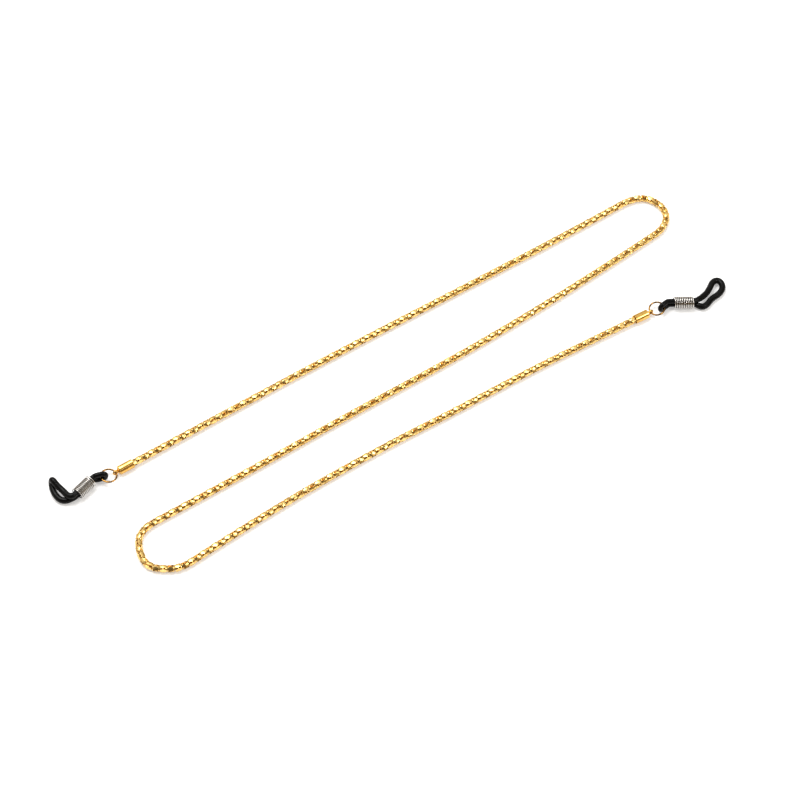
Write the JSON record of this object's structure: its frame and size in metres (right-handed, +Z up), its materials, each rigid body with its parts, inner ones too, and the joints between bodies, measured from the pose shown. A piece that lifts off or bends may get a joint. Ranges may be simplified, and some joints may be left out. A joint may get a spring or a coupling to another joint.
{
  "type": "eyeglasses chain strap",
  "caption": "Gold lantern-link neck chain for glasses, folded in a flat Z, with end caps, jump rings, steel coil sliders and black rubber temple loops.",
  "frame": {"origin": "on the table under the middle of the folded strap's box, to within a millimetre", "axes": "+Z up from the table; +X along the long side of the folded strap, towards the end with the right cap; +Y away from the front leg"},
  "size_m": [0.2256, 0.1547, 0.0044],
  "materials": {
    "gold_chain": "polished gold plate on facetted links",
    "gold_cap": "polished gold plate",
    "gold_ring": "polished gold plate",
    "coil_steel": "bright spring wire",
    "rubber": "smooth semi-gloss"
  },
  "bodies": {
    "middle": {"middle_leg": "gold_chain"},
    "back": {"back_leg": "gold_chain", "left_end_cap": "gold_cap"},
    "front": {"front_leg": "gold_chain", "right_end_cap": "gold_cap"},
    "right_link_01": {"right_bend_link_01": "gold_chain"},
    "right_link_02": {"right_bend_link_02": "gold_chain"},
    "right_link_03": {"right_bend_link_03": "gold_chain"},
    "right_link_04": {"right_bend_link_04": "gold_chain"},
    "right_link_05": {"right_bend_link_05": "gold_chain"},
    "right_link_06": {"right_bend_link_06": "gold_chain"},
    "right_link_07": {"right_bend_link_07": "gold_chain"},
    "right_link_08": {"right_bend_link_08": "gold_chain"},
    "right_link_09": {"right_bend_link_09": "gold_chain"},
    "right_link_10": {"right_bend_link_10": "gold_chain"},
    "right_link_11": {"right_bend_link_11": "gold_chain"},
    "right_link_12": {"right_bend_link_12": "gold_chain"},
    "right_link_13": {"right_bend_link_13": "gold_chain"},
    "left_link_01": {"left_bend_link_01": "gold_chain"},
    "left_link_02": {"left_bend_link_02": "gold_chain"},
    "left_link_03": {"left_bend_link_03": "gold_chain"},
    "left_link_04": {"left_bend_link_04": "gold_chain"},
    "left_link_05": {"left_bend_link_05": "gold_chain"},
    "left_link_06": {"left_bend_link_06": "gold_chain"},
    "left_link_07": {"left_bend_link_07": "gold_chain"},
    "left_link_08": {"left_bend_link_08": "gold_chain"},
    "left_link_09": {"left_bend_link_09": "gold_chain"},
    "left_link_10": {"left_bend_link_10": "gold_chain"},
    "left_link_11": {"left_bend_link_11": "gold_chain"},
    "left_link_12": {"left_bend_link_12": "gold_chain"},
    "left_link_13": {"left_bend_link_13": "gold_chain"},
    "left_link_14": {"left_bend_link_14": "gold_chain"},
    "left_ring": {"left_jump_ring": "gold_ring"},
    "left_loop": {"left_rubber_loop": "rubber"},
    "left_slider": {"left_coil_slider": "coil_steel"},
    "right_ring": {"right_jump_ring": "gold_ring"},
    "right_loop": {"right_rubber_loop": "rubber"},
    "right_slider": {"right_coil_slider": "coil_steel"}
  },
  "joints": [
    {"name": "right_bend_pivot_14", "type": "hinge", "parent": "middle", "child": "right_link_13", "pos_m": [0.09138, 0.05995, 0.00125], "axis": [0, 0, -1], "range_deg": [0, 8.52]},
    {"name": "right_bend_pivot_13", "type": "hinge", "parent": "right_link_13", "child": "right_link_12", "pos_m": [0.09297, 0.06168, 0.00125], "axis": [0, 0, -1], "range_deg": [0, 10]},
    {"name": "right_bend_pivot_12", "type": "hinge", "parent": "right_link_12", "child": "right_link_11", "pos_m": [0.09424, 0.06366, 0.00125], "axis": [0, 0, -1], "range_deg": [0, 13]},
    {"name": "right_bend_pivot_11", "type": "hinge", "parent": "right_link_11", "child": "right_link_10", "pos_m": [0.09502, 0.06587, 0.00125], "axis": [0, 0, -1], "range_deg": [0, 15]},
    {"name": "right_bend_pivot_10", "type": "hinge", "parent": "right_link_10", "child": "right_link_09", "pos_m": [0.09521, 0.06822, 0.00125], "axis": [0, 0, -1], "range_deg": [0, 18]},
    {"name": "right_bend_pivot_09", "type": "hinge", "parent": "right_link_09", "child": "right_link_08", "pos_m": [0.09466, 0.0705, 0.00125], "axis": [0, 0, -1], "range_deg": [0, 18]},
    {"name": "right_bend_pivot_08", "type": "hinge", "parent": "right_link_08", "child": "right_link_07", "pos_m": [0.09344, 0.07251, 0.00125], "axis": [0, 0, -1], "range_deg": [0, 15]},
    {"name": "right_bend_pivot_07", "type": "hinge", "parent": "right_link_07", "child": "right_link_06", "pos_m": [0.09173, 0.07413, 0.00125], "axis": [0, 0, -1], "range_deg": [0, 13]},
    {"name": "right_bend_pivot_06", "type": "hinge", "parent": "right_link_06", "child": "right_link_05", "pos_m": [0.08971, 0.07532, 0.00125], "axis": [0, 0, -1], "range_deg": [0, 18]},
    {"name": "right_bend_pivot_05", "type": "hinge", "parent": "right_link_05", "child": "right_link_04", "pos_m": [0.08741, 0.07583, 0.00125], "axis": [0, 0, -1], "range_deg": [0, 20]},
    {"name": "right_bend_pivot_04", "type": "hinge", "parent": "right_link_04", "child": "right_link_03", "pos_m": [0.08508, 0.07553, 0.00125], "axis": [0, 0, -1], "range_deg": [0, 12]},
    {"name": "right_bend_pivot_03", "type": "hinge", "parent": "right_link_03", "child": "right_link_02", "pos_m": [0.08287, 0.07474, 0.00125], "axis": [0, 0, -1], "range_deg": [0, 8]},
    {"name": "right_bend_pivot_02", "type": "hinge", "parent": "right_link_02", "child": "right_link_01", "pos_m": [0.08078, 0.07366, 0.00125], "axis": [0, 0, -1], "range_deg": [0, 5]},
    {"name": "right_bend_pivot_01", "type": "hinge", "parent": "right_link_01", "child": "back", "pos_m": [0.0788, 0.0724, 0.00125], "axis": [0, 0, -1], "range_deg": [0, 2]},
    {"name": "left_bend_pivot_01", "type": "hinge", "parent": "middle", "child": "left_link_01", "pos_m": [-0.077, -0.0589, 0.00125], "axis": [0, 0, -1], "range_deg": [0, 4.5]},
    {"name": "left_bend_pivot_02", "type": "hinge", "parent": "left_link_01", "child": "left_link_02", "pos_m": [-0.07886, -0.06034, 0.00125], "axis": [0, 0, -1], "range_deg": [0, 10]},
    {"name": "left_bend_pivot_03", "type": "hinge", "parent": "left_link_02", "child": "left_link_03", "pos_m": [-0.08044, -0.06208, 0.00125], "axis": [0, 0, -1], "range_deg": [0, 17]},
    {"name": "left_bend_pivot_04", "type": "hinge", "parent": "left_link_03", "child": "left_link_04", "pos_m": [-0.08144, -0.0642, 0.00125], "axis": [0, 0, -1], "range_deg": [0, 19]},
    {"name": "left_bend_pivot_05", "type": "hinge", "parent": "left_link_04", "child": "left_link_05", "pos_m": [-0.0817, -0.06654, 0.00125], "axis": [0, 0, -1], "range_deg": [0, 14]},
    {"name": "left_bend_pivot_06", "type": "hinge", "parent": "left_link_05", "child": "left_link_06", "pos_m": [-0.08138, -0.06887, 0.00125], "axis": [0, 0, -1], "range_deg": [0, 8]},
    {"name": "left_bend_pivot_07", "type": "hinge", "parent": "left_link_06", "child": "left_link_07", "pos_m": [-0.08075, -0.07113, 0.00125], "axis": [0, 0, -1], "range_deg": [0, 10]},
    {"name": "left_bend_pivot_08", "type": "hinge", "parent": "left_link_07", "child": "left_link_08", "pos_m": [-0.07973, -0.07325, 0.00125], "axis": [0, 0, -1], "range_deg": [0, 16]},
    {"name": "left_bend_pivot_09", "type": "hinge", "parent": "left_link_08", "child": "left_link_09", "pos_m": [-0.07816, -0.075, 0.00125], "axis": [0, 0, -1], "range_deg": [0, 22]},
    {"name": "left_bend_pivot_10", "type": "hinge", "parent": "left_link_09", "child": "left_link_10", "pos_m": [-0.07606, -0.07604, 0.00125], "axis": [0, 0, -1], "range_deg": [0, 19]},
    {"name": "left_bend_pivot_11", "type": "hinge", "parent": "left_link_10", "child": "left_link_11", "pos_m": [-0.07373, -0.07634, 0.00125], "axis": [0, 0, -1], "range_deg": [0, 6.5]},
    {"name": "left_bend_pivot_12", "type": "hinge", "parent": "left_link_11", "child": "left_link_12", "pos_m": [-0.07138, -0.07637, 0.00125], "axis": [0, 0, -1], "range_deg": [0, 6.5]},
    {"name": "left_bend_pivot_13", "type": "hinge", "parent": "left_link_12", "child": "left_link_13", "pos_m": [-0.06904, -0.07614, 0.00125], "axis": [0, 0, -1], "range_deg": [0, 16]},
    {"name": "left_bend_pivot_14", "type": "hinge", "parent": "left_link_13", "child": "left_link_14", "pos_m": [-0.06685, -0.07527, 0.00125], "axis": [0, 0, -1], "range_deg": [0, 9]},
    {"name": "left_bend_pivot_15", "type": "hinge", "parent": "left_link_14", "child": "front", "pos_m": [-0.06483, -0.07406, 0.00125], "axis": [0, 0, -1], "range_deg": [0, 7.13]},
    {"name": "left_ring_swing", "type": "hinge", "parent": "back", "child": "left_ring", "pos_m": [-0.09077, -0.04008, 0.00155], "axis": [-0.5625, 0.8268, 0], "range_deg": [0, 100]},
    {"name": "left_loop_turn", "type": "hinge", "parent": "left_ring", "child": "left_loop", "pos_m": [-0.0929, -0.04154, 0.00187], "axis": [0, 0, 1], "range_deg": [-40, 40]},
    {"name": "left_slider_slide", "type": "slide", "parent": "left_loop", "child": "left_slider", "axis": [0.6293, 0.7771, 0], "range_m": [0, 0.001]},
    {"name": "right_ring_swing", "type": "hinge", "parent": "front", "child": "right_ring", "pos_m": [0.0872, 0.02528, 0.00155], "axis": [0.5001, -0.866, 0], "range_deg": [0, 100]},
    {"name": "right_loop_turn", "type": "hinge", "parent": "right_ring", "child": "right_loop", "pos_m": [0.08943, 0.02657, 0.00187], "axis": [0, 0, 1], "range_deg": [-40, 40]},
    {"name": "right_slider_slide", "type": "slide", "parent": "right_loop", "child": "right_slider", "axis": [-0.9998, -0.0175, 0], "range_m": [0, 0.0015]}
  ]
}
